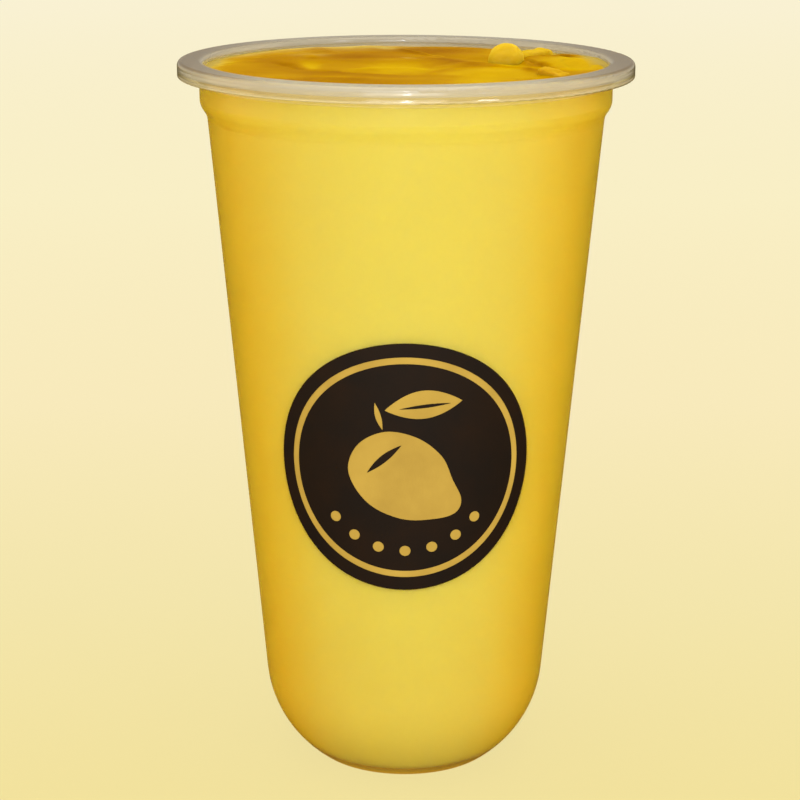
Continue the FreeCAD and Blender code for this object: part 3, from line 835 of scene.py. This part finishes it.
cream = Finish("cream_floor", Roughness=0.9, IOR=1.3, Specular_IOR_Level=0.0)
where = cream.node("TexCoord")
split = cream.node("SeparateXYZ")
cream.join(where.outputs["Object"], split.inputs[0])
away = split.outputs["Y"]
# it gets paler towards the back
seen = cream.shades(
    cream.spread(away, -0.06, 1.9, 0.0, 1.0),
    (0.016, (0.896, 0.773, 0.352)), (0.075, (0.904, 0.800, 0.429)), (0.17, (0.944, 0.836, 0.520)),
    (0.375, (0.961, 0.885, 0.590)), (0.93, (0.978, 0.915, 0.690)),
)
# what lights the cup from below is the plain floor
cream.join(cream.scaled(seen, 0.50), cream.shader.inputs["Base Color"])
# what is seen of it, also through the rim, gives off most of its own light and keeps a faint shadow
glow = cream.node("Emission")
cream.join(seen, glow.inputs["Color"])
glow.inputs["Strength"].default_value = 0.89
faint = cream.node("BsdfDiffuse")
cream.join(cream.scaled(seen, 0.07), faint.inputs["Color"])
shown_floor = cream.node("AddShader")
cream.join(faint.outputs[0], shown_floor.inputs[0])
cream.join(glow.outputs[0], shown_floor.inputs[1])
path = cream.node("LightPath")
looking = cream.maths("MAXIMUM", path.outputs["Is Camera Ray"], path.outputs["Is Transmission Ray"])
plain = cream.either(looking, cream.shader.outputs[0], shown_floor.outputs[0])
# what the cup mirrors of it is grey, and next to nothing behind
mirroring = cream.node("Math", operation="SUBTRACT", use_clamp=True)
cream.join(path.outputs["Is Glossy Ray"], mirroring.inputs[0])
cream.join(path.outputs["Is Transmission Ray"], mirroring.inputs[1])
sheen = cream.node("Emission")
mirrored = cream.shades(
    cream.spread(away, -0.30, -0.04, 0.0, 1.0), (0.0, (0.50, 0.48, 0.43)), (1.0, (0.03, 0.020, 0.003))
)
cream.join(mirrored, sheen.inputs["Color"])
either_floor = cream.either(mirroring.outputs[0], plain, sheen.outputs[0])
cream.join(either_floor, cream.output.inputs["Surface"])
cream.dress(floor)

world = bpy.data.worlds.new("surround")
bpy.context.scene.world = world
world.use_nodes = True
tree = world.node_tree
tree.nodes.clear()
out = tree.nodes.new("ShaderNodeOutputWorld")
ray = tree.nodes.new("ShaderNodeLightPath")
shown = None
for colour, rays in (
    ((1.13, 0.98, 0.64), None),                     # what lights the object
    ((0.42, 0.39, 0.33), "Is Glossy Ray"),          # what it mirrors
    ((0.70, 0.64, 0.50), "Is Transmission Ray"),    # what shows through the rim
    ((0.956, 0.875, 0.62), "Is Camera Ray"),        # the backdrop itself
):
    shade = tree.nodes.new("ShaderNodeBackground")
    shade.inputs["Color"].default_value = (*colour, 1)
    if rays is None:
        shown = shade.outputs[0]
        continue
    choice = tree.nodes.new("ShaderNodeMixShader")
    tree.links.new(ray.outputs[rays], choice.inputs[0])
    tree.links.new(shown, choice.inputs[1])
    tree.links.new(shade.outputs[0], choice.inputs[2])
    shown = choice.outputs[0]
tree.links.new(shown, out.inputs["Surface"])


def lamp(name, place, target, size, power, colour):
    """A soft rectangular lamp that points at a place."""
    light = bpy.data.lights.new(name, "AREA")
    light.shape = "RECTANGLE"
    light.size, light.size_y = size
    light.energy = power
    light.color = colour
    made = bpy.data.objects.new(name, light)
    bpy.context.scene.collection.objects.link(made)
    made.location = place
    made.rotation_euler = (Vector(target) - Vector(place)).to_track_quat("-Z", "Y").to_euler()


lamp("soft key", (-0.02, -1.15, 0.50), (0, 0, 0.09), (0.80, 0.55), 5.35, (1.0, 1.0, 1.0))
lamp("soft top", (0.0, 0.10, 1.10), (0, 0, 0.15), (0.70, 0.70), 3.0, (1.0, 0.97, 0.92))
lamp("left fill", (-1.0, 0.12, 0.30), (0, 0, 0.08), (0.6, 0.6), 1.8, (1.0, 0.86, 0.58))
lamp("right fill", (1.0, 0.12, 0.30), (0, 0, 0.08), (0.6, 0.6), 1.2, (1.0, 0.84, 0.56))
lamp("front lamp", (0.0, -0.75, 0.50), (0, 0, 0.15), (0.06, 0.24), 0.75, (0.93, 0.96, 1.10))
lamp("right lamp", (0.548, -0.629, 0.56), (0, 0, 0.15), (0.16, 0.10), 0.7, (0.95, 0.97, 1.06))

# ---------------------------------------------------------------------------------------------
# The camera: close in front of the cup, a little above its rim, looking down at it.
# ---------------------------------------------------------------------------------------------
lens = bpy.data.cameras.new("camera")
lens.sensor_width = 36.0
lens.lens = 94.79
lens.clip_start = 0.01
camera = bpy.data.objects.new("camera", lens)
bpy.context.scene.collection.objects.link(camera)
camera.location = (-0.00110, -0.44118, 0.20362)
pitch, roll = 15.762, 0.137
turned = Euler((math.radians(90 - pitch), 0, 0)).to_matrix() @ Euler((0, 0, math.radians(roll))).to_matrix()
camera.rotation_euler = turned.to_euler()
bpy.context.scene.camera = camera
